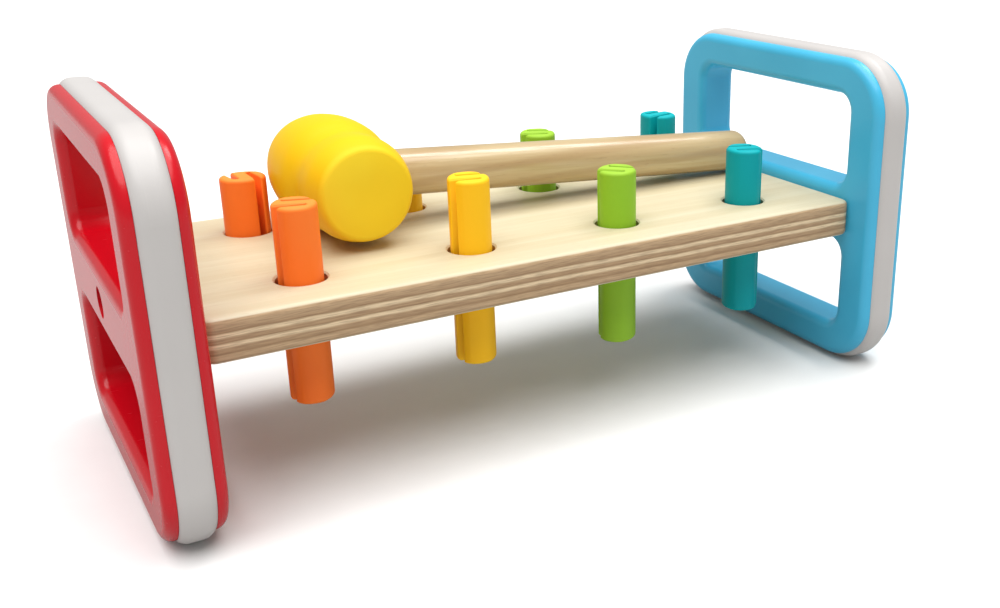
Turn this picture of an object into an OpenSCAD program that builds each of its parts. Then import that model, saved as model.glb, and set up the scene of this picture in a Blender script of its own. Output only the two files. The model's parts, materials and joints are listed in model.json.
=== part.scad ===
// Peg pounding bench: a plywood board with two rows of S-section spring pegs, held between two end
// frames that are alike top and bottom, and a mallet that lies on the board between the rows.
// Millimetres. +X runs along the board from the red end to the blue end, -Y is the front, +Z is up.
// The origin is on the ground under the middle of the bench.

/* [Board] */
// Length of the board between the end frames
board_len = 254; // [240:1:300]
// Width of the board across the two rows
board_w = 110; // [100:1:116]
// Thickness of the plywood
board_t = 14.5; // [12:0.5:18]
// Rounding along the edges of the top and the underside
board_edge_r = 2; // [1:0.25:3.5]
// Corner radius of the board seen from above
board_corner_r = 4; // [3.75:0.25:10]

/* [Holes] */
// Distance between neighbouring holes along a row
hole_pitch = 60; // [55:0.5:66]
// Distance between the two rows
row_gap = 62; // [54:1:70]
// Diameter of each hole
hole_d = 16.7; // [15:0.1:18]
// Chamfer round both mouths of a hole
hole_chamfer = 0.6; // [0.2:0.1:1.2]

/* [Pegs] */
// Length of a peg
peg_len = 67; // [56:1:76]
// Running gap all round between a peg and its hole
peg_gap = 0.3; // [0.2:0.05:0.6]
// Width of the S section across its two bends
peg_bend_w = 14.4; // [12.5:0.1:14.8]
// Radius of the arcs that trim the two bends
bend_arc_r = 9; // [8.4:0.1:11]
// Wall left at the closed end of each slit
peg_bend_wall = 3.6; // [2.8:0.1:4.5]
// Distance of each slit's middle line from the peg's axis
slit_offset = 3.4; // [3:0.1:4]
// Width of a slit at its closed end
slit_root_w = 2; // [1.2:0.1:2.6]
// Width of a slit where it opens at the side of the peg
slit_mouth_w = 3.2; // [2:0.1:4]
// Rounding of the peg's two ends
peg_end_r = 2.4; // [1:0.1:3.5]

/* [End frames] */
// Depth of an end frame from front to back, over the rim band
frame_w = 137; // [126:1:160]
// Height of an end frame over the rim band
frame_h = 130; // [120:1:150]
// Corner radius of the shells
shell_corner_r = 22; // [16:0.5:28]
// Thickness of a shell's rim beside the band
rim_t = 3.9; // [3.2:0.1:6]
// Rounding of a shell's outer edge
shell_edge_r = 3.5; // [1.5:0.1:3.6]
// Height of the top bar and of the bottom bar of a shell
end_bar_h = 14.3; // [12:0.1:18]
// Width of the front bar and of the back bar of a shell
side_bar_w = 17.2; // [15:0.1:22]
// How far the middle bar reaches above and below the board
bar_lip = 4.5; // [3:0.1:8]
// Corner radius of the hand openings
opening_corner_r = 7; // [5:0.5:12]
// Rounding of the edge round each hand opening
opening_edge_r = 3.5; // [1.5:0.1:4]

/* [Rim bands] */
// Width of the rim band
band_w = 11.2; // [8:0.1:16]
// Depth of the band below the shells' edge
band_seat = 3.5; // [2:0.1:5]
// How far the band stands proud of the shells
band_crown = 2; // [1:0.1:3]
// Width of the flat along the middle of the band
band_flat = 4; // [2:0.1:6]

/* [Fastening] */
// Clearance between fixed pieces that fit into each other
fit = 0.1; // [0.05:0.05:0.3]
// Diameter of the screw's shank
screw_d = 4; // [3:0.1:5]
// Length of the screw under its head
screw_len = 38; // [30:1:46]
// Length of the screw's pointed end
screw_tip = 4; // [2:0.5:6]
// Diameter of the screw's point
screw_point_d = 1; // [0.5:0.1:2]
// Diameter of the screw's head
screw_head_d = 8; // [6.5:0.1:9]
// Height of the screw's head
screw_head_h = 3; // [2:0.1:4]
// Length of the cross slots in the screw's head
screw_slot_len = 5.2; // [3:0.1:6]
// Width of the cross slots in the screw's head
screw_slot_w = 1.2; // [0.8:0.1:1.6]
// Depth of the cross slots in the screw's head
screw_slot_t = 1.6; // [0.8:0.1:1.8]
// Space all round the screw's head in its recess
recess_gap = 1.3; // [0.8:0.1:2]
// Depth of the recess below the shell's face
recess_t = 5; // [4.5:0.1:6]
// Diameter of the spigots that key the board to a frame
spigot_d = 6; // [4:0.5:8]
// Length of a spigot
spigot_len = 8; // [5:0.5:12]
// Distance of a spigot from the middle of the board
spigot_y = 36; // [20:1:42]
// Diameter of the posts that line up the two shells of a frame
post_d = 5; // [4:0.5:6]
// Length of a post
post_len = 5; // [3:0.5:6]

/* [Mallet] */
// Length of the mallet's head
head_len = 62; // [50:1:66]
// Largest diameter of the mallet's head
head_d = 40.8; // [36:0.2:42]
// Distance of the fullest part of each half from the middle of the head
head_bulge_y = 8; // [6:0.5:12]
// How much smaller in radius the head is at its ends than at its fullest
head_taper = 4.6; // [3:0.1:7]
// Rounding of the rim of each face
head_rim_r = 3.4; // [2:0.1:6]
// Diameter of the handle
handle_d = 17.3; // [13:0.1:19]
// How far the handle reaches into the head past the head's axis
handle_seat = 9; // [4:0.5:12]
// Rounding of the handle's free end
handle_end_r = 5; // [2:0.5:6]
// Share of the free space beside the head that lies towards the first column of pegs
head_side = 0.2; // [0.1:0.05:0.9]
// Space between the handle and the back row of holes
handle_row_gap = 2.2; // [1:0.1:7]
// Space between the handle's end and the blue frame
handle_end_gap = 5.2; // [2:0.1:12]
// Gap under the mallet where it rests on the board
rest_gap = 0.3; // [0.2:0.05:0.5]

/* [Hidden] */
$fn = 64;
// Overshoot of cuts past the faces that they open
cut = 1;

// Ends of the bench: -1 is the red one, 1 the blue one
RED = -1;
BLUE = 1;
// Rows: -1 is the front one, 1 the back one
FRONT = -1;
BACK = 1;
// Columns of holes from the red end, in hole pitches from the middle
COLUMNS = [-1.5, -0.5, 0.5, 1.5];

// Pegs as they stand: name, column, row, top above the board, turn about the axis, 1 when upside down, colour
PEGS = [["peg_orange_front", 0, FRONT, 25.2, -13.5, 0, "#f4762c"],
        ["peg_yellow_front", 1, FRONT, 25.6, -12, 0, "#fcb71e"],
        ["peg_green_front", 2, FRONT, 20.8, -44, 0, "#84bb29"],
        ["peg_teal_front", 3, FRONT, 21.7, -23, 1, "#0b9499"],
        ["peg_orange_back", 0, BACK, 20.7, -85, 0, "#f4762c"],
        ["peg_yellow_back", 1, BACK, 21.2, -10, 0, "#fcb71e"],
        ["peg_green_back", 2, BACK, 23.5, -20, 0, "#84bb29"],
        ["peg_teal_back", 3, BACK, 25.1, 12, 0, "#0b9499"]];
PEG_NAME = 0;
PEG_COLUMN = 1;
PEG_ROW = 2;
PEG_RISE = 3;
PEG_TURN = 4;
PEG_FLIP = 5;
PEG_COLOUR = 6;

// End frame, worked out in its own plane: width runs front to back, height up, thickness out of the bench
frame_t = band_w + 2 * rim_t;
half_t = frame_t / 2;
half_band = band_w / 2;
frame_mid_x = board_len / 2 + half_t;
frame_mid_z = frame_h / 2;
shell_w = frame_w - 2 * band_crown;
shell_h = frame_h - 2 * band_crown;
mid_bar_h = board_t + 2 * bar_lip;
opening_w = shell_w - 2 * side_bar_w;
opening_h = (shell_h - mid_bar_h) / 2 - end_bar_h;
opening_mid = (mid_bar_h + opening_h) / 2;
screw_seat = half_t - recess_t;
screw_board_len = screw_len - screw_seat - half_t;
post_x = shell_w / 2 - (side_bar_w + band_seat) / 2;
post_y = opening_mid;

// Arc of the band's shoulders: it starts level with the shells and ends level with the flat
shoulder_w = (band_w - band_flat) / 2 - fit;
shoulder_r = (shoulder_w * shoulder_w + band_crown * band_crown) / (2 * band_crown);

// Board
board_z = frame_mid_z - board_t / 2;
board_top = board_z + board_t;

// Peg section: a disc with its two bends trimmed by wider arcs
peg_d = hole_d - 2 * peg_gap;
bend_arc_x = bend_arc_r - peg_bend_w / 2;
slit_root_x = peg_bend_w / 2 - peg_bend_wall - slit_root_w / 2;

// Mallet head outline: each half is one arc, and a rim arc that touches it and the face
head_r = head_d / 2;
head_half = head_len / 2;
bulge_run = head_half - head_bulge_y;
bulge_r = (bulge_run * bulge_run + head_taper * head_taper) / (2 * head_taper);
bulge_x = head_r - bulge_r;
rim_y = head_half - head_rim_r;
rim_run = rim_y - head_bulge_y;
rim_x = bulge_x + sqrt(pow(bulge_r - head_rim_r, 2) - rim_run * rim_run);
rim_touch_y = head_bulge_y + rim_run * bulge_r / (bulge_r - head_rim_r);
function head_r_at(y) = bulge_x + sqrt(bulge_r * bulge_r - pow(y - head_bulge_y, 2));

// Mallet's place: between the first two columns, in front of the back row, short of the blue frame
handle_r = handle_d / 2;
head_row_y = hole_d / 2 + handle_row_gap + handle_r;
mallet_y = row_gap / 2 - head_row_y;
head_row_r = head_r_at(head_row_y);
head_free = hole_pitch - hole_d - 2 * head_row_r;
mallet_x = COLUMNS[0] * hole_pitch + hole_d / 2 + head_side * head_free + head_row_r;
mallet_z = board_top + rest_gap + head_r;
handle_reach = board_len / 2 - handle_end_gap - mallet_x;
handle_slope = asin((head_r - handle_r) / handle_reach);

// Quarter of a disc, in the corner between +X and +Y
module quarter(r) {
    intersection() {
        circle(r);
        square(r);
    }
}

// Sweeps the 2D child round a rounded rectangle: its X runs out from the corners' centres, its Y is height
module edge_sweep(w, h, r) {
    for (side = [0 : 3]) {
        out = (side % 2 == 0 ? w : h) / 2 - r;
        along = (side % 2 == 0 ? h : w) / 2 - r;
        rotate(90 * side) translate([out, along, 0]) {
            rotate([90, 0, 0]) linear_extrude(2 * along) children();
            rotate_extrude(angle = 90) children();
        }
    }
}

// Plate of thickness t with a rounded-rectangle outline, whose edge has the 2D child as its section
module edged_plate(w, h, r, t) {
    linear_extrude(t) square([w - 2 * r, h - 2 * r], center = true);
    edge_sweep(w, h, r) children();
}

// Puts a piece drawn in an end frame's own plane at one end of the bench
module at_end(end) {
    mirror([end == RED ? 1 : 0, 0, 0])
        translate([frame_mid_x, 0, frame_mid_z])
            rotate([90, 0, 90])
                children();
}

// Section of a board's edge, rounded above and below
module board_edge() {
    inner = board_corner_r - board_edge_r;
    square([inner, board_t]);
    translate([0, board_edge_r]) square([board_corner_r, board_t - 2 * board_edge_r]);
    translate([inner, board_t - board_edge_r]) quarter(board_edge_r);
    translate([inner, board_edge_r]) mirror([0, 1]) quarter(board_edge_r);
}

// Through-hole with a chamfer at both mouths
module peg_hole() {
    wide = hole_d + 2 * hole_chamfer;
    translate([0, 0, -cut]) cylinder(d = hole_d, h = board_t + 2 * cut);
    cylinder(d1 = wide, d2 = hole_d, h = hole_chamfer);
    translate([0, 0, board_t - hole_chamfer]) cylinder(d1 = hole_d, d2 = wide, h = hole_chamfer);
}

// Bores in one end of the board: one for the screw and two for the spigots
module end_bores() {
    rotate([0, 90, 0]) {
        translate([0, 0, -screw_board_len - fit])
            cylinder(d = screw_d + 2 * fit, h = screw_board_len + fit + cut);
        for (side = [-1, 1])
            translate([0, side * spigot_y, -spigot_len - fit])
                cylinder(d = spigot_d + 2 * fit, h = spigot_len + fit + cut);
    }
}

module board() {
    color("#eadcb8") difference() {
        translate([0, 0, board_z]) edged_plate(board_len, board_w, board_corner_r, board_t) board_edge();
        for (column = COLUMNS, row = [FRONT, BACK])
            translate([column * hole_pitch, row * row_gap / 2, board_z]) peg_hole();
        for (end = [RED, BLUE])
            mirror([end == RED ? 1 : 0, 0, 0]) translate([board_len / 2, 0, frame_mid_z]) end_bores();
    }
}

// Section of a half shell's edge: a step that carries half of the band, then the rounded rim
module shell_edge() {
    inner = shell_corner_r - shell_edge_r;
    square([shell_corner_r - band_seat, half_t]);
    translate([0, half_band]) square([inner, rim_t]);
    translate([0, half_band]) square([shell_corner_r, rim_t - shell_edge_r]);
    translate([inner, half_t - shell_edge_r]) quarter(shell_edge_r);
}

// Section of a hand opening: straight wall, flared by the rounded edge at the shell's face
module opening_edge() {
    flare_x = opening_corner_r + opening_edge_r;
    flare_z = half_t - opening_edge_r;
    translate([0, -cut]) square([opening_corner_r, half_t + 2 * cut]);
    difference() {
        translate([0, flare_z]) square([flare_x, opening_edge_r + cut]);
        translate([flare_x, flare_z]) circle(opening_edge_r);
    }
}

module hand_opening() {
    edge_sweep(opening_w, opening_h, opening_corner_r) opening_edge();
    translate([0, 0, -cut])
        linear_extrude(half_t + 2 * cut)
            square([opening_w - 2 * opening_corner_r, opening_h - 2 * opening_corner_r], center = true);
}

// Half of an end frame's body, from its parting plane out to its face
module half_shell() {
    difference() {
        edged_plate(shell_w, shell_h, shell_corner_r, half_t) shell_edge();
        for (side = [-1, 1])
            translate([0, side * opening_mid, 0]) hand_opening();
    }
}

// Four places in the front and back bars, beside the hand openings
module at_posts() {
    for (x = [-post_x, post_x], y = [-post_y, post_y])
        translate([x, y, 0]) children();
}

module screw_hole() {
    translate([0, 0, -half_t - cut]) cylinder(d = screw_d + 2 * fit, h = frame_t + 2 * cut);
}

// Outer half: screw recess in the middle bar, and posts on the parting plane
module outer_shell() {
    difference() {
        half_shell();
        screw_hole();
        translate([0, 0, screw_seat]) cylinder(d = screw_head_d + 2 * recess_gap, h = recess_t + cut);
    }
    at_posts() translate([0, 0, -post_len]) cylinder(d = post_d, h = post_len);
}

// Inner half: sockets for the posts, and spigots that key the board's end
module inner_shell() {
    difference() {
        mirror([0, 0, 1]) half_shell();
        screw_hole();
        at_posts()
            translate([0, 0, -post_len - fit])
                cylinder(d = post_d + 2 * fit, h = post_len + fit + cut);
    }
    for (side = [-1, 1])
        translate([side * spigot_y, 0, -half_t - spigot_len]) cylinder(d = spigot_d, h = spigot_len);
}

// Section of the rim band: a flat strip with two arched shoulders, let in between the shells' rims
module band_section() {
    half_w = half_band - fit;
    base = shell_corner_r - band_seat + fit;
    crown = shell_corner_r + band_crown;
    translate([base, -half_w]) square([shell_corner_r - base, 2 * half_w]);
    intersection() {
        union() {
            translate([base, -band_flat / 2]) square([crown - base, band_flat]);
            for (side = [-1, 1])
                translate([crown - shoulder_r, side * band_flat / 2]) circle(shoulder_r);
        }
        translate([base, -half_w]) square([crown - base, 2 * half_w]);
    }
}

module rim_band() {
    edge_sweep(shell_w, shell_h, shell_corner_r) band_section();
}

// Screw with a cross-slotted cheese head, along the frame's thickness
module screw() {
    translate([0, 0, screw_seat]) difference() {
        cylinder(d = screw_head_d, h = screw_head_h);
        for (turn = [0, 90])
            rotate(turn)
                translate([-screw_slot_len / 2, -screw_slot_w / 2, screw_head_h - screw_slot_t])
                    cube([screw_slot_len, screw_slot_w, screw_slot_t + cut]);
    }
    translate([0, 0, screw_seat - screw_len]) {
        cylinder(d1 = screw_point_d, d2 = screw_d, h = screw_tip);
        translate([0, 0, screw_tip]) cylinder(d = screw_d, h = screw_len - screw_tip);
    }
}

module red_outer_shell() {
    color("#c41f30") at_end(RED) outer_shell();
}

module red_inner_shell() {
    color("#b41a2b") at_end(RED) inner_shell();
}

module red_rim_band() {
    color("#f1f0ec") at_end(RED) rim_band();
}

module red_screw() {
    color("#a9adb1") at_end(RED) screw();
}

module blue_outer_shell() {
    color("#4ba3c7") at_end(BLUE) outer_shell();
}

module blue_inner_shell() {
    color("#459bc0") at_end(BLUE) inner_shell();
}

module blue_rim_band() {
    color("#f1f0ec") at_end(BLUE) rim_band();
}

module blue_screw() {
    color("#a9adb1") at_end(BLUE) screw();
}

// One slit of the S: round at its closed end, wider where it opens
module slit() {
    root = slit_root_w / 2;
    mouth = slit_mouth_w / 2;
    translate([slit_root_x, -slit_offset]) {
        circle(root);
        polygon([[0, root], [0, -root], [-peg_d, -mouth], [-peg_d, mouth]]);
    }
}

// S-shaped section of a peg: two slits from opposite sides leave three limbs joined by two bends
module s_section() {
    difference() {
        intersection() {
            circle(d = peg_d);
            translate([bend_arc_x, 0]) circle(bend_arc_r);
            translate([-bend_arc_x, 0]) circle(bend_arc_r);
        }
        slit();
        rotate(180) slit();
    }
}

// Round rod with rounded ends, which gives the peg its ends
module rounded_rod(d, len, end_r) {
    rotate_extrude() {
        square([d / 2 - end_r, len]);
        translate([0, end_r]) square([d / 2, len - 2 * end_r]);
        translate([d / 2 - end_r, len - end_r]) quarter(end_r);
        translate([d / 2 - end_r, end_r]) mirror([0, 1]) quarter(end_r);
    }
}

module peg(p) {
    x = COLUMNS[p[PEG_COLUMN]] * hole_pitch;
    y = p[PEG_ROW] * row_gap / 2;
    color(p[PEG_COLOUR])
        translate([x, y, board_top + p[PEG_RISE] - peg_len])
            rotate(p[PEG_TURN])
                intersection() {
                    linear_extrude(peg_len) mirror([0, p[PEG_FLIP]]) s_section();
                    rounded_rod(peg_d, peg_len, peg_end_r);
                }
}

// Puts a piece drawn about the head's middle, with the handle along +X, where the mallet lies
module at_mallet() {
    translate([mallet_x, mallet_y, mallet_z]) rotate([0, handle_slope, 0]) children();
}

// Half outline of the head: two arcs that meet in a shallow waist, with rounded rims at the faces
module head_outline() {
    for (side = [0, 1])
        mirror([0, side]) {
            intersection() {
                translate([bulge_x, head_bulge_y]) circle(bulge_r);
                square([head_d, rim_touch_y]);
            }
            translate([rim_x, rim_y]) circle(head_rim_r);
            square([rim_x, head_half]);
        }
}

module mallet_head() {
    color("#f6d945") at_mallet() difference() {
        rotate([90, 0, 0]) rotate_extrude() head_outline();
        translate([-handle_seat - fit, 0, 0])
            rotate([0, 90, 0])
                cylinder(d = handle_d + 2 * fit, h = head_d);
    }
}

module mallet_handle() {
    len = handle_seat + handle_reach;
    color("#c7a673") at_mallet()
        translate([-handle_seat, 0, 0])
            rotate([0, 90, 0])
                rounded_rod(handle_d, len, handle_end_r);
}

board();
red_outer_shell();
red_inner_shell();
red_rim_band();
red_screw();
blue_outer_shell();
blue_inner_shell();
blue_rim_band();
blue_screw();
mallet_head();
mallet_handle();
for (p = PEGS)
    peg(p);
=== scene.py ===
# %% [markdown]
# # A toy pounding bench
# The bench is a plywood board between two plastic end frames, with eight spring pegs in its holes and a
# mallet lying on it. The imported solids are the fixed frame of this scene: they say where everything is.
# Each step below either gives a solid its finish or builds a finer piece in the place of one.

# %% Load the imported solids
import json
import math
import bmesh
import bpy
from mathutils import Matrix, Vector


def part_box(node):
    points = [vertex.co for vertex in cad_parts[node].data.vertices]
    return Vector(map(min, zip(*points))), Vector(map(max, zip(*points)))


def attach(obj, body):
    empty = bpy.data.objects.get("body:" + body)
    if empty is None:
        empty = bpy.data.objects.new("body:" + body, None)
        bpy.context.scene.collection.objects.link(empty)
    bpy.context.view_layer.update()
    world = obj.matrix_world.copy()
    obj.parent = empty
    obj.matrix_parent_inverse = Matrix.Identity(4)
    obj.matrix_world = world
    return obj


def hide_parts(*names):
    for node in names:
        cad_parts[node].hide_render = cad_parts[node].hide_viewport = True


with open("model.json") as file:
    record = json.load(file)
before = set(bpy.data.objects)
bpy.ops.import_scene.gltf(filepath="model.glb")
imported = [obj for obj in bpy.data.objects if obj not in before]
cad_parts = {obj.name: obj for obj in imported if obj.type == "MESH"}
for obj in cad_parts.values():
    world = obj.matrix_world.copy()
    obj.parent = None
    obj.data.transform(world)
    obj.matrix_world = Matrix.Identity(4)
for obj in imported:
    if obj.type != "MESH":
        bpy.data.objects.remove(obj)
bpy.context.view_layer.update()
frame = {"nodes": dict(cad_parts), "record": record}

# %% [markdown]
# ## Camera
# The picture is taken from the front, a little above the bench and off its red end. The camera stands where
# lines along the board's edges and the rows of holes meet the picture's own, so pieces fall where they should.
# The picture is cut off-centre, and the lens shift does the same here: turning the camera would tilt the
# uprights instead.

# %% Set up the camera
MM = 0.001
CAMERA_PLACE = Vector((-187.3, -380.3, 192.4)) * MM
TURN_RIGHT, LOOK_DOWN, ROLL = (math.radians(a) for a in (33.378, 19.799, 0.370))
SENSOR, LENS = 36, 40.77
SHIFT_X, SHIFT_Y = -0.1447, -0.0123
NEAREST = 0.01

camera_data = bpy.data.cameras.new("camera")
camera = bpy.data.objects.new("camera", camera_data)
bpy.context.scene.collection.objects.link(camera)
bpy.context.scene.camera = camera
camera.matrix_world = (
    Matrix.Translation(CAMERA_PLACE)
    @ Matrix.Rotation(-TURN_RIGHT, 4, "Z")
    @ Matrix.Rotation(math.pi / 2 - LOOK_DOWN, 4, "X")
    @ Matrix.Rotation(ROLL, 4, "Z")
)
camera_data.sensor_width, camera_data.lens = SENSOR, LENS
camera_data.shift_x, camera_data.shift_y = SHIFT_X, SHIFT_Y
camera_data.clip_start = NEAREST
print("camera at", [round(v, 4) for v in CAMERA_PLACE], "lens", LENS)

# %% [markdown]
# ## Helpers for finishes
# A finish is a small tree of shader nodes. Most are made by adding a node, setting a few values and joining
# its inputs, so one helper does all three. Colours are written as screen values from 0 to 255, which are
# easy to compare with a picture, and turned into the linear light that the renderer counts in.

# %% Helpers for colours and nodes
def tone(red, green, blue):
    """A screen colour, 0 to 255 a channel, as linear light."""
    shares = [c / 255 for c in (red, green, blue)]
    return tuple(s / 12.92 if s <= 0.04045 else ((s + 0.055) / 1.055) ** 2.4 for s in shares) + (1.0,)


def feed(tree, socket, value):
    """Gives an input a plain value, or a link where the value is another node's output."""
    if isinstance(value, bpy.types.NodeSocket):
        tree.links.new(value, socket)
    else:
        socket.default_value = value


def add(tree, kind, settings=None, **sockets):
    """Adds a node. Settings are its own options; sockets are inputs by name, as values or as links."""
    made = tree.nodes.new(kind)
    for option, value in (settings or {}).items():
        setattr(made, option, value)
    for label, value in sockets.items():
        feed(tree, made.inputs[label.replace("_", " ")], value)
    return made


print("white on screen is", [round(c, 3) for c in tone(255, 255, 255)])

# %% [markdown]
# ## Helpers for sums and ranges
# Noise comes out of its node as a number near one half. Turning it into a mask, a share of a colour or a
# roughness takes a little arithmetic, which these four helpers cover. A Mix node names its sockets alike for
# numbers and for colours, so the colour ones are picked by their place in the list.

# %% Helpers for sums and ranges
MIX_SHARE, MIX_FIRST, MIX_SECOND, MIX_RESULT = 0, 6, 7, 2
WHOLE = (0.0, 1.0)


def mix_colour(tree, share, first, second):
    """Second over first, by a share from 0 to 1."""
    made = add(tree, "ShaderNodeMix", {"data_type": "RGBA"})
    for place, value in ((MIX_SHARE, share), (MIX_FIRST, first), (MIX_SECOND, second)):
        feed(tree, made.inputs[place], value)
    return made.outputs[MIX_RESULT]


def spread(tree, value, low, high, to_low=0.0, to_high=1.0):
    """Stretches the part of a value from low to high over another range, with soft ends."""
    made = add(tree, "ShaderNodeMapRange", {"interpolation_type": "SMOOTHSTEP"}, Value=value,
               From_Min=low, From_Max=high, To_Min=to_low, To_Max=to_high)
    return made.outputs["Result"]


def reckon(tree, how, first, second=0.0):
    """One arithmetic step on two numbers."""
    made = add(tree, "ShaderNodeMath", {"operation": how})
    for socket, value in zip(made.inputs, (first, second)):
        feed(tree, socket, value)
    return made.outputs[0]


def part_of(tree, value, share):
    """A value made weaker."""
    return reckon(tree, "MULTIPLY", value, share)


print("helpers:", ", ".join(helper.__name__ for helper in (mix_colour, spread, reckon, part_of)))

# %% [markdown]
# ## Helpers for groups and materials
# An effect that several finishes share is a node group with named sockets. Every material starts from one
# Principled shader and reads object coordinates, so a pattern stays on its piece wherever that moves.

# %% Helpers for groups and materials
def new_group(name, inputs, outputs):
    """An empty node group with named sockets: its tree, its inputs and its outputs."""
    tree = bpy.data.node_groups.new(name, "ShaderNodeTree")
    for label, kind in inputs:
        tree.interface.new_socket(label, in_out="INPUT", socket_type=kind)
    for label, kind in outputs:
        tree.interface.new_socket(label, in_out="OUTPUT", socket_type=kind)
    return tree, add(tree, "NodeGroupInput").outputs, add(tree, "NodeGroupOutput").inputs


def new_finish(name):
    """A material with one Principled shader: it, its tree, its shader and its object coordinates."""
    made = bpy.data.materials.new(name)
    made.use_nodes = True
    shader = made.node_tree.nodes["Principled BSDF"]
    place = add(made.node_tree, "ShaderNodeTexCoord").outputs["Object"]
    return made, made.node_tree, shader, place


def emboss(tree, shader, height, strength, depth):
    """Turns a height into the tilt of the surface."""
    bump = add(tree, "ShaderNodeBump", Height=height, Strength=strength, Distance=depth)
    tree.links.new(bump.outputs[0], shader.inputs["Normal"])


print("helpers:", ", ".join(helper.__name__ for helper in (new_group, new_finish, emboss)))

# %% [markdown]
# ## Moulded skin
# All the plastic pieces are injection moulded. Such a surface is never quite even: the colour clouds a little
# where the melt cooled slowly, the gloss is broken by a very fine orange peel, and handling leaves hair-thin
# scuffs. They could be painted on an unwrapped surface, but noise that fills space has no seams. Here it comes
# at three sizes, and every plastic uses all three, so they are one group.

# %% Group: moulded skin
FLOAT, VECTOR = "NodeSocketFloat", "NodeSocketVector"
CLOUD_SCALE, CLOUD_RANGE = 22.0, (0.3, 0.7)
PEEL_SCALE = 1400.0
SCUFF_STRETCH, SCUFF_RANGE = (90.0, 1500.0, 700.0), (0.68, 0.8)
SCUFF_TURNS = [(0.5, 0.9, 0.4), (1.2, -0.6, 1.9)]

skin, skin_in, skin_out = new_group(
    "moulded_skin", [("Place", VECTOR)], [("Cloud", FLOAT), ("Peel", FLOAT), ("Scuff", FLOAT)])
cloud = add(skin, "ShaderNodeTexNoise", Vector=skin_in["Place"], Scale=CLOUD_SCALE, Detail=3.0)
skin.links.new(spread(skin, cloud.outputs[0], *CLOUD_RANGE), skin_out["Cloud"])
peel = add(skin, "ShaderNodeTexNoise", Vector=skin_in["Place"], Scale=PEEL_SCALE, Detail=2.0)
skin.links.new(peel.outputs[0], skin_out["Peel"])
hairs = []
for turn in SCUFF_TURNS:
    way = add(skin, "ShaderNodeMapping", Vector=skin_in["Place"], Rotation=turn, Scale=SCUFF_STRETCH)
    hair = add(skin, "ShaderNodeTexNoise", Vector=way.outputs[0], Scale=1.0, Detail=2.0)
    hairs.append(spread(skin, hair.outputs[0], *SCUFF_RANGE))
skin.links.new(reckon(skin, "MAXIMUM", *hairs), skin_out["Scuff"])
print("group", skin.name, "with", len(skin.nodes), "nodes")

# %% [markdown]
# ## Long grain
# The board's faces and the mallet's handle show wood cut along the trunk. Three things make it read as wood:
# a broad figure that drifts along the grain, fine fibres, and short dark pores. Bands from a wave texture come
# out too regular for these, so each is noise stretched along the grain, which runs along the X of whatever
# coordinates come in.

# %% Group: long grain
# Stretch along X, Y and Z, detail, warp, and the part of the noise that counts.
GRAIN = {
    "Figure": ((7.0, 120.0, 120.0), 4.0, 0.6, (0.3, 0.7)),
    "Fibre": ((45.0, 1700.0, 1700.0), 3.0, 0.0, (0.25, 0.75)),
    "Pore": ((170.0, 1900.0, 1900.0), 1.0, 0.0, (0.66, 0.74)),
}


def stretched_noise(tree, place, stretch, detail, warp=0.0):
    """Noise drawn out along an axis."""
    mapped = add(tree, "ShaderNodeMapping", Vector=place, Scale=stretch).outputs[0]
    noise = add(tree, "ShaderNodeTexNoise", Vector=mapped, Scale=1.0, Detail=detail, Distortion=warp)
    return noise.outputs[0]


grain, grain_in, grain_out = new_group("long_grain", [("Place", VECTOR)], [(label, FLOAT) for label in GRAIN])
for label, (stretch, detail, warp, limits) in GRAIN.items():
    noise = stretched_noise(grain, grain_in["Place"], stretch, detail, warp)
    grain.links.new(spread(grain, noise, *limits), grain_out[label])
print("group", grain.name, "with", len(grain.nodes), "nodes")

# %% [markdown]
# ## Plastic finishes
# The frames are glossy, the rim bands and pegs satin, and the mallet's head a softer satin still. They differ
# only in colour, gloss and how deep the peel is, so one function makes them all. Where a piece is struck, a
# value on its mesh dulls and pales the skin. The dulling is wear from the blows. The paler, yellower colour is
# partly that wear and partly a painted highlight, standing in for bright light on the ends. Pieces without that
# value read it as nothing.

# %% A function for plastics
CLOUD_SHARE = 0.55
STRUCK_AND_LIT_CLOUD, STRUCK_AND_LIT_SHARE = (0.1, 0.9), (0.5, 0.8)
# The pale of struck ends is partly wear and partly painted highlight; their extra roughness is wear.
STRUCK_AND_LIT_PALE, STRUCK_ROUGH = 0.6, 0.22
SCUFF_ROUGH, SCUFF_DEPTH = 0.06, -0.1
SKIN_BUMP = 0.5


def plastic(name, colour, deep, gloss, peel_depth, shine):
    """A moulded plastic: colour clouding towards deep, roughness gloss, relief of peel_depth, mirror shine."""
    made, tree, shader, place = new_finish(name)
    group = add(tree, "ShaderNodeGroup", {"node_tree": skin}, Place=place)
    clouds, scuffs = group.outputs["Cloud"], group.outputs["Scuff"]
    struck = add(tree, "ShaderNodeAttribute", {"attribute_name": "struck"}).outputs["Fac"]
    clouded = mix_colour(tree, part_of(tree, clouds, CLOUD_SHARE), colour, deep)
    dulled_and_lit = part_of(tree, struck, spread(tree, clouds, *STRUCK_AND_LIT_CLOUD, *STRUCK_AND_LIT_SHARE))
    # Struck ends pale towards a lighter, yellower colour: partly wear, partly a painted highlight.
    pale = tuple(c ** STRUCK_AND_LIT_PALE for c in colour[:3]) + (1.0,)
    tree.links.new(mix_colour(tree, dulled_and_lit, clouded, pale), shader.inputs["Base Color"])
    scuffed = spread(tree, scuffs, *WHOLE, gloss, gloss + SCUFF_ROUGH)
    rough = reckon(tree, "ADD", scuffed, part_of(tree, dulled_and_lit, STRUCK_ROUGH))
    tree.links.new(rough, shader.inputs["Roughness"])
    relief = reckon(tree, "ADD", group.outputs["Peel"], part_of(tree, scuffs, SCUFF_DEPTH))
    emboss(tree, shader, relief, SKIN_BUMP, peel_depth)
    shader.inputs["Specular IOR Level"].default_value = shine
    return made


print("a blow adds up to", STRUCK_ROUGH, "of roughness")

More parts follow.
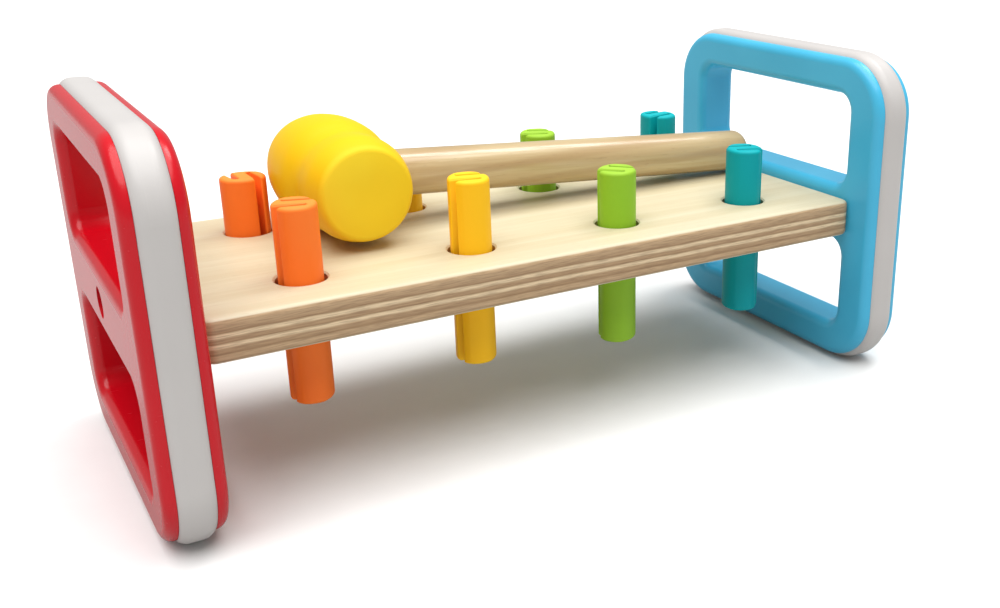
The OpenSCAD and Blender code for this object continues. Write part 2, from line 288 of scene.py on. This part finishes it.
# %% Make the plastics
# Colour, deeper colour, roughness, depth of the peel and mirror shine.
FRAME_PEEL, BAND_PEEL, PEG_PEEL, HEAD_PEEL = 0.014 * MM, 0.02 * MM, 0.04 * MM, 0.05 * MM
PEG_GLOSS = 0.42
PLASTICS = {
    "red_shell": (tone(203, 8, 27), tone(189, 5, 20), 0.24, FRAME_PEEL, 0.36),
    "blue_shell": (tone(75, 187, 225), tone(63, 175, 215), 0.28, FRAME_PEEL, 0.38),
    "white_band": (tone(200, 196, 193), tone(193, 189, 186), 0.38, BAND_PEEL, 0.4),
    "orange_peg": (tone(254, 108, 20), tone(251, 98, 15), PEG_GLOSS, PEG_PEEL, 0.25),
    "yellow_peg": (tone(255, 189, 5), tone(254, 180, 3), PEG_GLOSS, PEG_PEEL, 0.22),
    "green_peg": (tone(132, 187, 25), tone(123, 178, 20), PEG_GLOSS, PEG_PEEL, 0.25),
    "teal_peg": (tone(0, 145, 153), tone(0, 137, 145), PEG_GLOSS, PEG_PEEL, 0.18),
    "mallet_yellow": (tone(241, 197, 10), tone(237, 189, 7), 0.5, HEAD_PEEL, 0.2),
}
FINISH = {name: plastic(name, *look) for name, look in PLASTICS.items()}
print("plastics:", ", ".join(FINISH))

# %% [markdown]
# ## Varnished handle
# The handle is a beech dowel: a warm pale brown with long streaks, short dark flecks and a clear varnish that
# catches the light in one bright line. The grain has to follow the dowel, which lies nose-down on the board,
# so its coordinates are turned by the same slope. A dowel is split from a trunk whose rings it doesn't quite
# follow, so they come out as long pointed arches: rings about a distant, slightly tilted middle draw them. The
# varnish is the shader's own coat.

# %% Measure how the dowel lies
# The head and the dowel's far end both rest on the board. The reach is from the head's middle to that end.
head_low, head_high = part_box("mallet_head")
handle_low, handle_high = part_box("mallet_handle")
HEAD_MIDDLE = (head_low + head_high) / 2
HEAD_R = (head_high.z - head_low.z) / 2
HANDLE_R = (handle_high.y - handle_low.y) / 2
HANDLE_REACH = 183.2 * MM
HANDLE_SLOPE = math.asin((HEAD_R - HANDLE_R) / HANDLE_REACH)
print("handle slopes", round(math.degrees(HANDLE_SLOPE), 2), "degrees")

# %% Draw the dowel's grain
LIGHT_STREAK, DARK_STREAK = tone(211, 191, 147), tone(190, 163, 116)
RING_BROWN, FIBRE_BROWN, FLECK_BROWN = tone(172, 138, 92), tone(174, 144, 97), tone(128, 92, 52)
TRUNK_MIDDLE, TRUNK_TILT, RING_STRETCH = (0.0, -0.03, -0.06), (0.0, 0.25, 0.5), (0.15, 1.0, 1.0)
RING_SCALE, RING_WOBBLE, RING_RANGE = 55.0, 3.5, (0.4, 1.0)
RING_SHARE, FIBRE_SHARE, FLECK_SHARE = (0.0, 0.5), 0.3, 0.2

handle_wood, tree, shader, place = new_finish("handle_wood")
turned = add(tree, "ShaderNodeMapping", {"vector_type": "POINT"}, Vector=place,
             Rotation=(0.0, -HANDLE_SLOPE, 0.0))
beech = add(tree, "ShaderNodeGroup", {"node_tree": grain}, Place=turned.outputs[0])
streaked = mix_colour(tree, beech.outputs["Figure"], LIGHT_STREAK, DARK_STREAK)
trunk = add(tree, "ShaderNodeMapping", Vector=turned.outputs[0], Location=TRUNK_MIDDLE, Rotation=TRUNK_TILT,
            Scale=RING_STRETCH)
rings = add(tree, "ShaderNodeTexWave", {"wave_type": "RINGS", "rings_direction": "X"}, Vector=trunk.outputs[0],
            Scale=RING_SCALE, Distortion=RING_WOBBLE, Detail=2.0, Detail_Scale=1.0)
dark_rings = spread(tree, rings.outputs["Fac"], *RING_RANGE, *RING_SHARE)
ringed = mix_colour(tree, dark_rings, streaked, RING_BROWN)
fibred = mix_colour(tree, part_of(tree, beech.outputs["Fibre"], FIBRE_SHARE), ringed, FIBRE_BROWN)
flecked = mix_colour(tree, part_of(tree, beech.outputs["Pore"], FLECK_SHARE), fibred, FLECK_BROWN)
tree.links.new(flecked, shader.inputs["Base Color"])
print("grain of", len(tree.nodes), "nodes on", handle_wood.name)

# %% Varnish the dowel
BARE_ROUGH, VARNISH_WEIGHT, VARNISH_ROUGH = (0.36, 0.5), (1.0, 0.5), 0.16
BEECH_BUMP, BEECH_DEPTH = 0.35, 0.06 * MM
tree.links.new(spread(tree, beech.outputs["Fibre"], *WHOLE, *BARE_ROUGH), shader.inputs["Roughness"])
emboss(tree, shader, beech.outputs["Fibre"], BEECH_BUMP, BEECH_DEPTH)
tree.links.new(spread(tree, beech.outputs["Fibre"], *WHOLE, *VARNISH_WEIGHT), shader.inputs["Coat Weight"])
shader.inputs["Coat Roughness"].default_value = VARNISH_ROUGH
FINISH["handle_wood"] = handle_wood
print("varnish weighs", VARNISH_WEIGHT, "over the fibres")

# %% [markdown]
# ## Plywood
# The board is birch plywood: pale sanded veneer on both faces, and along every cut edge the glued layers,
# light where a layer's fibres run along the edge and brown where they are cut across. Two materials would mean
# sorting the solid's faces, so one covers both: it looks at which way the surface faces, and paints layers by
# height wherever that isn't up or down.

# %% Lay the veneer
LIGHT_VENEER, DARK_VENEER = tone(212, 202, 172), tone(204, 191, 157)
VENEER_FIBRE, VENEER_PORE = tone(190, 173, 134), tone(158, 130, 90)
VENEER_FIBRE_SHARE, VENEER_PORE_SHARE = 0.12, 0.16
plywood, tree, shader, place = new_finish("plywood")
birch = add(tree, "ShaderNodeGroup", {"node_tree": grain}, Place=place)
veneer = mix_colour(tree, birch.outputs["Figure"], LIGHT_VENEER, DARK_VENEER)
veneer = mix_colour(tree, part_of(tree, birch.outputs["Fibre"], VENEER_FIBRE_SHARE), veneer, VENEER_FIBRE)
veneer = mix_colour(tree, part_of(tree, birch.outputs["Pore"], VENEER_PORE_SHARE), veneer, VENEER_PORE)
print("veneer of", len(tree.nodes), "nodes")

# %% Stack the plies
# Each ply is a height, as a share of the board's thickness, and a colour.
BOARD_LOW, BOARD_HIGH = (c.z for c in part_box("board"))
WAVE_SCALE, WAVE_RANGE, WAVE_HEIGHT = 35.0, (0.2, 0.8), 0.16 * MM
LIGHT_PLY, WARM_PLY = tone(232, 207, 168), tone(194, 163, 125)
BROWN_PLY, GLUE = tone(180, 148, 111), tone(157, 125, 88)
PLIES = [(0.0, BROWN_PLY), (0.08, BROWN_PLY), (0.12, WARM_PLY), (0.2, WARM_PLY), (0.24, GLUE),
         (0.29, BROWN_PLY), (0.345, BROWN_PLY), (0.385, LIGHT_PLY), (0.435, LIGHT_PLY), (0.475, GLUE),
         (0.5, BROWN_PLY), (0.56, BROWN_PLY), (0.6, LIGHT_PLY), (0.655, LIGHT_PLY), (0.695, GLUE),
         (0.73, BROWN_PLY), (0.84, WARM_PLY), (0.96, WARM_PLY)]

waves = add(tree, "ShaderNodeTexNoise", Vector=place, Scale=WAVE_SCALE, Detail=2.0).outputs[0]
height = add(tree, "ShaderNodeSeparateXYZ", Vector=place).outputs["Z"]
wavy = reckon(tree, "ADD", height, spread(tree, waves, *WAVE_RANGE, -WAVE_HEIGHT, WAVE_HEIGHT))
layer = add(tree, "ShaderNodeMapRange", Value=wavy, From_Min=BOARD_LOW, From_Max=BOARD_HIGH)
ramp = add(tree, "ShaderNodeValToRGB", Fac=layer.outputs["Result"])
for share, _ in PLIES[2:]:
    ramp.color_ramp.elements.new(share)
for stop, (share, colour) in zip(ramp.color_ramp.elements, PLIES):
    stop.position, stop.color = share, colour
print("plies painted over", round((BOARD_HIGH - BOARD_LOW) / MM, 2), "mm")

# %% Saw the edges and join edge to face
SAW_STRETCH, SAW_DETAIL, SAW_RANGE = (160.0, 160.0, 2600.0), 3.0, (0.35, 0.75)
SAW_BROWN, SAW_SHARE = tone(116, 86, 56), (0.0, 0.45)
EDGE_TURN = (0.5, 0.72)
SANDED_ROUGH, SAW_DEPTH = (0.5, 0.62), 0.8
PLYWOOD_BUMP, PLYWOOD_DEPTH = 0.4, 0.08 * MM
LACQUER_WEIGHT, LACQUER_ROUGH = 0.12, 0.35

saw_lines = stretched_noise(tree, place, SAW_STRETCH, SAW_DETAIL)
cut_edge = mix_colour(tree, spread(tree, saw_lines, *SAW_RANGE, *SAW_SHARE), ramp.outputs[0], SAW_BROWN)
facing = add(tree, "ShaderNodeTexCoord").outputs["Normal"]
upright = add(tree, "ShaderNodeSeparateXYZ", Vector=facing).outputs["Z"]
flat = spread(tree, reckon(tree, "ABSOLUTE", upright), *EDGE_TURN)
tree.links.new(mix_colour(tree, flat, cut_edge, veneer), shader.inputs["Base Color"])
tree.links.new(spread(tree, birch.outputs["Fibre"], *WHOLE, *SANDED_ROUGH), shader.inputs["Roughness"])
relief = reckon(tree, "ADD", birch.outputs["Fibre"], part_of(tree, saw_lines, SAW_DEPTH))
emboss(tree, shader, relief, PLYWOOD_BUMP, PLYWOOD_DEPTH)
shader.inputs["Coat Weight"].default_value = LACQUER_WEIGHT
shader.inputs["Coat Roughness"].default_value = LACQUER_ROUGH
FINISH["plywood"] = plywood
print("plywood of", len(tree.nodes), "nodes")

# %% [markdown]
# ## Screws
# Each frame is held by one long zinc-plated screw, deep in its recess. Zinc plating is a cool grey metal with
# faint cloudy patches and a fine grain, so it is a metallic shader that uses the moulded skin's noise: the
# clouds for its colour, the peel for its gloss.

# %% Make the screw steel
BRIGHT_ZINC, DULL_ZINC = tone(196, 199, 203), tone(168, 170, 172)
ZINC_GRAIN, ZINC_ROUGH = (0.2, 0.8), (0.24, 0.42)
ZINC_BUMP, ZINC_DEPTH = 0.3, 0.03 * MM
screw_steel, tree, shader, place = new_finish("screw_steel")
group = add(tree, "ShaderNodeGroup", {"node_tree": skin}, Place=place)
zinc = mix_colour(tree, group.outputs["Cloud"], BRIGHT_ZINC, DULL_ZINC)
tree.links.new(zinc, shader.inputs["Base Color"])
tree.links.new(spread(tree, group.outputs["Peel"], *ZINC_GRAIN, *ZINC_ROUGH), shader.inputs["Roughness"])
emboss(tree, shader, group.outputs["Peel"], ZINC_BUMP, ZINC_DEPTH)
shader.inputs["Metallic"].default_value = 1.0
FINISH["screw_steel"] = screw_steel
print("finishes:", len(FINISH))

# %% [markdown]
# ## Finishes on the solids
# The board, shells, bands, screws and handle have the right shape already. The record says which finish each
# one takes, so a loop puts the new materials where the plain ones were.

# %% Put the finishes on
slot_of = {part["node"]: part["material_slot"] for part in frame["record"]["subparts"]}
for name, solid in frame["nodes"].items():
    for material_slot in solid.material_slots:
        material_slot.material = FINISH[slot_of[name]]
print(dict(sorted(slot_of.items())))

# %% [markdown]
# ## Spring pegs
# A peg is a bar of springy plastic with an S-shaped section. Two cuts from opposite sides of a disc give the S,
# each with a round closed end. The bar's ends are rounded, widely round the outside and less along the slits.
# A bevel is the usual way to round an end, but the S is so narrow that bevels of two widths run into each other.
# So the rounding is a height over the flat section which falls away towards its outline: fine rings follow the
# outline, where the fall is steep, and a plain grid fills the middle.

# %% Sizes of the S section
PEG_R, PEG_LEN = 8.05 * MM, 67 * MM
BEND_ARC_R, BEND_HALF = 9.0 * MM, 7.2 * MM
BEND_MIDDLE = BEND_ARC_R - BEND_HALF
SLIT_SHIFT, SLIT_END = 3.4 * MM, 3.6 * MM
ROOT_HALF, MOUTH_HALF, MOUTH_RUN = 1.0 * MM, 1.6 * MM, 16.1 * MM
ROOT_X = SLIT_END - ROOT_HALF
LEAN = math.atan((MOUTH_HALF - ROOT_HALF) / MOUTH_RUN)


def slit_root(side):
    """Middle of a slit's round end. The first slit opens towards -X, the other is its half turn."""
    return Vector((side * ROOT_X, -side * SLIT_SHIFT, 0))


def outside_depth(point):
    """How far a point lies inside the section's outer outline: a disc cut by one wider arc on each bend."""
    bends = [BEND_ARC_R - math.hypot(point.x - x, point.y) for x in (BEND_MIDDLE, -BEND_MIDDLE)]
    return min(PEG_R - math.hypot(point.x, point.y), *bends)


def slit_depth(point):
    """How far a point lies from the nearer slit."""
    gaps = []
    for side in (1, -1):
        x, y = point.x * side - ROOT_X, point.y * side + SLIT_SHIFT
        half = ROOT_HALF - x * math.tan(LEAN)
        gaps.append(math.hypot(x, y) - ROOT_HALF if x > 0 else (abs(y) - half) * math.cos(LEAN))
    return min(gaps)


print("slits lean", round(math.degrees(LEAN), 2), "degrees")

# %% Cut the S section
SIDES = 96
CUT_TOLERANCE = 1e-7
section = bmesh.new()
bmesh.ops.create_circle(section, cap_ends=True, segments=SIDES, radius=PEG_R)
for v in section.verts:
    middle = Vector((math.copysign(BEND_MIDDLE, -v.co.x), 0, 0))
    v.co = middle + (v.co - middle) * min(1.0, BEND_ARC_R / (v.co - middle).length)
for side in (1, -1):
    cuts = []
    for half in (1, -1):
        wall = slit_root(side) + Vector((0, half * ROOT_HALF, 0))
        cuts.append((wall, Vector((side * half * math.sin(LEAN), math.cos(LEAN), 0))))
    cuts.append((Vector((side * SLIT_END, 0, 0)), Vector((1, 0, 0))))
    for point, across_cut in cuts:
        bmesh.ops.bisect_plane(section, geom=section.verts[:] + section.edges[:] + section.faces[:],
                               plane_co=point, plane_no=across_cut, dist=CUT_TOLERANCE)
waste = [f for f in section.faces if slit_depth(f.calc_center_median()) < 0]
bmesh.ops.delete(section, geom=waste, context="FACES")
bmesh.ops.dissolve_faces(section, faces=section.faces[:])
print("section:", len(section.faces), "face with", len(section.verts), "corners")

# %% Find the section's corners
STRAIGHT, CORNER, SHARP = (math.radians(a) for a in (1.0, 30, 100))
OFF_WALL = 0.1 * MM


def turn_at(v):
    """Angle by which the outline turns at v."""
    a, b = (e.other_vert(v).co - v.co for e in v.link_edges)
    return math.pi - a.angle(b)


def corner_kind(v):
    """Roots close a slit, tips are the sharp ends of the S, and lips the blunter corners of a slit's mouth."""
    if abs(slit_depth(v.co)) > OFF_WALL:
        return "roots"
    return "tips" if turn_at(v) > SHARP else "lips"


bmesh.ops.dissolve_verts(section, verts=[v for v in section.verts if turn_at(v) < STRAIGHT])
spots = {"roots": [], "tips": [], "lips": []}
for v in section.verts:
    if turn_at(v) > CORNER:
        spots[corner_kind(v)].append(v.co.copy())
print("corners:", {kind: len(places) for kind, places in spots.items()})

# %% Round the section's corners
CLEAR_ROOM = {"tips": 1.1 * MM, "lips": 0.55 * MM}
CORNER_RUN = {"roots": 0.99 * ROOT_HALF, "tips": 0.93 * MM, "lips": 0.4 * MM}
CORNER_STEPS = 6
ROOT_ROOM = 1.3 * ROOT_HALF
SAME_PLACE = 1e-6


def gap_to(v, places):
    """Distance from v to the nearest of some places."""
    return min((v.co - p).length for p in places)


for kind, room in CLEAR_ROOM.items():
    crowding = [v for v in section.verts if 0 < gap_to(v, spots[kind]) < room and turn_at(v) < CORNER]
    bmesh.ops.dissolve_verts(section, verts=crowding)
for kind, run in CORNER_RUN.items():
    chosen = [v for v in section.verts if gap_to(v, spots[kind]) < SAME_PLACE]
    bmesh.ops.bevel(section, geom=chosen, offset=run, offset_type="OFFSET", segments=CORNER_STEPS, profile=0.5,
                    affect="VERTICES", material=-1)
for v in section.verts:
    for side in (1, -1):
        from_root = v.co - slit_root(side)
        if from_root.x * side > 0 and from_root.length < ROOT_ROOM:
            v.co += from_root * (ROOT_HALF / from_root.length - 1)
print("rounded section:", len(section.verts), "corners")

# %% Lay rings and a grid inside the section
# The nudge keeps the grid's lines off the outline's own corners.
RING_STEPS = [s * MM for s in (0.03, 0.06, 0.08, 0.1, 0.11)]
GRID_STEP, GRID_LINES, GRID_NUDGE = 0.6 * MM, 13, 1e-5
inner = section.faces[:]
for step in RING_STEPS:
    bmesh.ops.inset_individual(section, faces=inner, thickness=step, use_even_offset=True)
for line in range(-GRID_LINES, GRID_LINES + 1):
    for across_cut in (Vector((1, 0, 0)), Vector((0, 1, 0))):
        geom = list(dict.fromkeys(g for f in inner for g in (*f.verts, *f.edges, f)))
        cut = bmesh.ops.bisect_plane(section, geom=geom, plane_co=across_cut * (line * GRID_STEP + GRID_NUDGE),
                                     plane_no=across_cut, dist=SAME_PLACE)
        found = [g for g in inner + cut["geom"] if isinstance(g, bmesh.types.BMFace) and g.is_valid]
        inner = list(dict.fromkeys(found))
print("end:", len(section.faces), "faces, of them", len(inner), "in the grid")

# %% Let the end fall away and join it to its twin
END_ROUND, SLIT_ROUND = 1.4 * MM, 0.55 * MM


def fall(depth, radius):
    """Drop of a rounded edge at some depth in from it."""
    short = radius - min(max(depth, 0.0), radius)
    return radius - math.sqrt(radius ** 2 - short ** 2)


for v in section.verts:
    v.co.z = PEG_LEN - fall(outside_depth(v.co), END_ROUND) - fall(slit_depth(v.co), SLIT_ROUND)
twin = bmesh.ops.duplicate(section, geom=section.verts[:] + section.edges[:] + section.faces[:])
for g in twin["geom"]:
    if isinstance(g, bmesh.types.BMVert):
        g.co.z = PEG_LEN - g.co.z
bmesh.ops.bridge_loops(section, edges=[e for e in section.edges if e.is_boundary])
bmesh.ops.recalc_face_normals(section, faces=section.faces[:])
open_edges = sum(not e.is_manifold for e in section.edges)
volume = section.calc_volume() / MM ** 3
print("peg:", len(section.faces), "faces,", open_edges, "open edges, volume", round(volume), "mm3")

# %% Make the peg's mesh
SOFT_TURN = math.radians(38)


def new_mesh(name, shape):
    """A mesh made from a bmesh, which is used up."""
    mesh = bpy.data.meshes.new(name)
    shape.to_mesh(mesh)
    shape.free()
    return mesh


def new_piece(name, mesh):
    """An object that shows a mesh."""
    made = bpy.data.objects.new(name, mesh)
    bpy.context.scene.collection.objects.link(made)
    return made


def soften(mesh):
    """Shades a mesh smooth, apart from its sharp edges."""
    mesh.shade_smooth()
    mesh.set_sharp_from_angle(angle=SOFT_TURN)


peg_mesh = new_mesh("spring_peg", section)
soften(peg_mesh)
print("one peg:", len(peg_mesh.polygons), "faces")

# %% Mark where the blows fall and the painted highlight goes
STRUCK_AND_LIT_DEPTH = 2.5 * MM


def mark_struck_and_lit(mesh, depth_of):
    """Stores how much each point takes the blows and the painted highlight, from 0 to 1, given its depth below a
    hit end.
    """
    marks = mesh.attributes.new("struck", "FLOAT", "POINT")
    for point, store in zip(mesh.vertices, marks.data):
        store.value = max(0.0, 1.0 - depth_of(point.co) / STRUCK_AND_LIT_DEPTH)


# The peg's two ends take the mark: wear from blows, and a painted highlight in their paler colour.
mark_struck_and_lit(peg_mesh, lambda co: min(co.z, PEG_LEN - co.z))
print("struck skin reaches", round(STRUCK_AND_LIT_DEPTH / MM, 2), "mm down")

# %% Set the eight pegs in their holes
TURNS = {"peg_orange_front": -13.5, "peg_yellow_front": -12, "peg_green_front": -44, "peg_teal_front": -23,
         "peg_orange_back": -85, "peg_yellow_back": -10, "peg_green_back": -20, "peg_teal_back": 12}
UPSIDE_DOWN = {"peg_teal_front"}
for name, turn in TURNS.items():
    low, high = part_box(name)
    axis = Vector(((low.x + high.x) / 2, (low.y + high.y) / 2, low.z))
    mesh = peg_mesh.copy()
    if name in UPSIDE_DOWN:
        mesh.transform(Matrix.Translation((0, 0, PEG_LEN)) @ Matrix.Rotation(math.pi, 4, "X"))
    mesh.transform(Matrix.Translation(axis) @ Matrix.Rotation(math.radians(turn), 4, "Z"))
    mesh.materials.append(FINISH[slot_of[name]])
    peg = new_piece(name.replace("peg_", "spring_peg_"), mesh)
    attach(peg, name.replace("peg_", ""))
    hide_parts(name)
print("pegs:", len(TURNS), "each", round(PEG_LEN / MM, 1), "mm long")

# %% [markdown]
# ## Mallet head
# The head is turned about one axis: a full belly, a soft neck behind the striking face, and a rounded rim at
# either end. Its outline is a smooth curve through a few radii, so the neck and belly run into each other
# without a crease, and one full spin makes it solid. A round cutter then drills the socket that the handle is
# pressed into.

# %% Draw the head's outline
# Distance along the axis and radius there, in millimetres, from the back end to the front.
RADII = [(31.0, 13.4), (30.6, 15.0), (29.4, 16.4), (27.5, 17.2), (25.0, 17.95), (20.0, 19.25), (16.0, 19.9),
         (12.0, 20.42), (8.0, 20.64), (4.0, 20.65), (1.0, 20.55), (-1.5, 20.25), (-4.0, 19.6), (-6.0, 18.9),
         (-8.0, 18.35), (-10.0, 18.05), (-12.0, 18.05), (-14.0, 18.25), (-17.0, 18.55), (-20.0, 18.65),
         (-22.5, 18.5), (-25.5, 17.85), (-28.0, 17.1), (-29.6, 16.4), (-30.6, 15.6), (-31.0, 14.7)]
HEAD_HALF = RADII[0][0] * MM
CURVE_STEPS = 4


def through(points, steps):
    """Points of a smooth curve through the given ones."""
    curve = []
    ends = [points[0]] + points + [points[-1]]
    for a, b, c, d in zip(ends, ends[1:], ends[2:], ends[3:]):
        for k in range(steps):
            t = k / steps
            curve.append(0.5 * (2 * b + (c - a) * t + (2 * a - 5 * b + 4 * c - d) * t ** 2
                                + (3 * b - a - 3 * c + d) * t ** 3))
    return curve + [points[-1]]


curve = through([Vector((r, y, 0)) * MM for y, r in RADII], CURVE_STEPS)
path = [Vector((0, HEAD_HALF, 0)), Vector((curve[0].x / 2, HEAD_HALF, 0))]
path += curve + [Vector((curve[-1].x / 2, -HEAD_HALF, 0)), Vector((0, -HEAD_HALF, 0))]
outline = bmesh.new()
points = [outline.verts.new(p) for p in path]
for a, b in zip(points, points[1:]):
    outline.edges.new((a, b))
belly = 2 * max(p.x for p in path)
print("outline:", len(points), "points, belly", round(belly / MM, 2), "mm across")

# %% Spin the head
SPIN_STEPS = 112
bmesh.ops.spin(outline, geom=outline.verts[:] + outline.edges[:], cent=(0, 0, 0), axis=(0, 1, 0),
               angle=2 * math.pi, steps=SPIN_STEPS, use_merge=True)
bmesh.ops.remove_doubles(outline, verts=outline.verts[:], dist=SAME_PLACE)
bmesh.ops.recalc_face_normals(outline, faces=outline.faces[:])
barrel = new_piece("mallet_barrel", new_mesh("mallet_barrel", outline))
print("barrel:", len(barrel.data.polygons), "faces")

# %% Drill the socket
SOCKET_DEPTH, SOCKET_FIT, SOCKET_SIDES = 9.1 * MM, 0.1 * MM, 96
socket_r = HANDLE_R + SOCKET_FIT
along_handle = Matrix.Translation((HEAD_R - SOCKET_DEPTH, 0, 0)) @ Matrix.Rotation(math.pi / 2, 4, "Y")
drill = bmesh.new()
bmesh.ops.create_cone(drill, cap_ends=True, segments=SOCKET_SIDES, radius1=socket_r, radius2=socket_r,
                      depth=2 * HEAD_R, matrix=along_handle)
cutter = new_piece("socket_cutter", new_mesh("socket_cutter", drill))
hole = barrel.modifiers.new("socket", "BOOLEAN")
hole.operation, hole.solver, hole.object = "DIFFERENCE", "EXACT", cutter
depsgraph = bpy.context.evaluated_depsgraph_get()
head_mesh = bpy.data.meshes.new_from_object(barrel.evaluated_get(depsgraph))
for used in (barrel, cutter):
    bpy.data.objects.remove(used)
print("drilled head:", len(head_mesh.polygons), "faces")

# %% Set the head on its handle
soften(head_mesh)
# The head's two ends take the same mark: wear from blows, and a painted highlight in their paler colour.
mark_struck_and_lit(head_mesh, lambda co: HEAD_HALF - abs(co.y))
head_mesh.transform(Matrix.Translation(HEAD_MIDDLE) @ Matrix.Rotation(HANDLE_SLOPE, 4, "Y"))
head_mesh.materials.clear()
head_mesh.materials.append(FINISH["mallet_yellow"])
head = new_piece("mallet_barrel", head_mesh)
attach(head, "mallet")
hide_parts("mallet_head")
print("head at", [round(v / MM, 1) for v in HEAD_MIDDLE], "mm,", round(belly / MM, 2), "mm across")

# %% [markdown]
# ## Floor and light
# The bench stands on a plain pale sweep under one wide soft box, almost overhead: shadows lie right under the
# handle, tops are bright and fronts fall into a soft grey. A smaller window, high over the blue end, draws the
# bright line on the handle's varnish. The white world fills in the rest, dimmer than it looks, as white walls
# would. The floor too looks paler than it lights, so the undersides keep some shade. It is large, to give the
# glossy red frame something pale to mirror.

# %% Lay the floor
FLOOR_HALF, FLOOR_ROUGH, SPECKLE_SCALE = 6.0, 0.7, 60.0
FLOOR_SEEN, FLOOR_SPECK, FLOOR_LIT = tone(240, 240, 239), tone(246, 246, 245), tone(188, 188, 187)
floor_shape = bmesh.new()
bmesh.ops.create_grid(floor_shape, x_segments=1, y_segments=1, size=FLOOR_HALF)
floor = new_piece("floor", new_mesh("floor", floor_shape))
floor_paint, tree, shader, place = new_finish("floor_paint")
speckle = add(tree, "ShaderNodeTexNoise", Vector=place, Scale=SPECKLE_SCALE, Detail=4.0).outputs[0]
pale = mix_colour(tree, speckle, FLOOR_SEEN, FLOOR_SPECK)
seen = add(tree, "ShaderNodeLightPath").outputs["Is Camera Ray"]
tree.links.new(mix_colour(tree, seen, FLOOR_LIT, pale), shader.inputs["Base Color"])
shader.inputs["Roughness"].default_value = FLOOR_ROUGH
floor.data.materials.append(floor_paint)
print("floor", floor.dimensions.x, "m wide")

# %% Hang the lights
# Direction in which the light travels, strength, and the angle of the sky that the lamp fills, in degrees.
LAMPS = {"overhead": ((0.08, 0.15, -1.0), 3.65, 70), "window": ((-0.5, -0.13, -0.85), 0.7, 20)}
for name, (towards, strength, angle) in LAMPS.items():
    lamp = bpy.data.lights.new(name, "SUN")
    lamp.energy, lamp.angle = strength, math.radians(angle)
    hung = bpy.data.objects.new(name, lamp)
    hung.rotation_euler = Vector(towards).to_track_quat("-Z", "Y").to_euler()
    bpy.context.scene.collection.objects.link(hung)

# %% Whiten the room
FILL, WHITE = 0.4, (1.0, 1.0, 1.0, 1.0)
world = bpy.data.worlds.new("white_room")
bpy.context.scene.world = world
world.use_nodes = True
room = world.node_tree
sky = room.nodes["Background"]
sky.inputs["Color"].default_value = WHITE
seen = add(room, "ShaderNodeLightPath").outputs["Is Camera Ray"]
room.links.new(spread(room, seen, *WHOLE, FILL, 1.0), sky.inputs["Strength"])
bpy.context.scene.view_settings.view_transform = "Standard"
print("world lights with", FILL, "of what it shows")
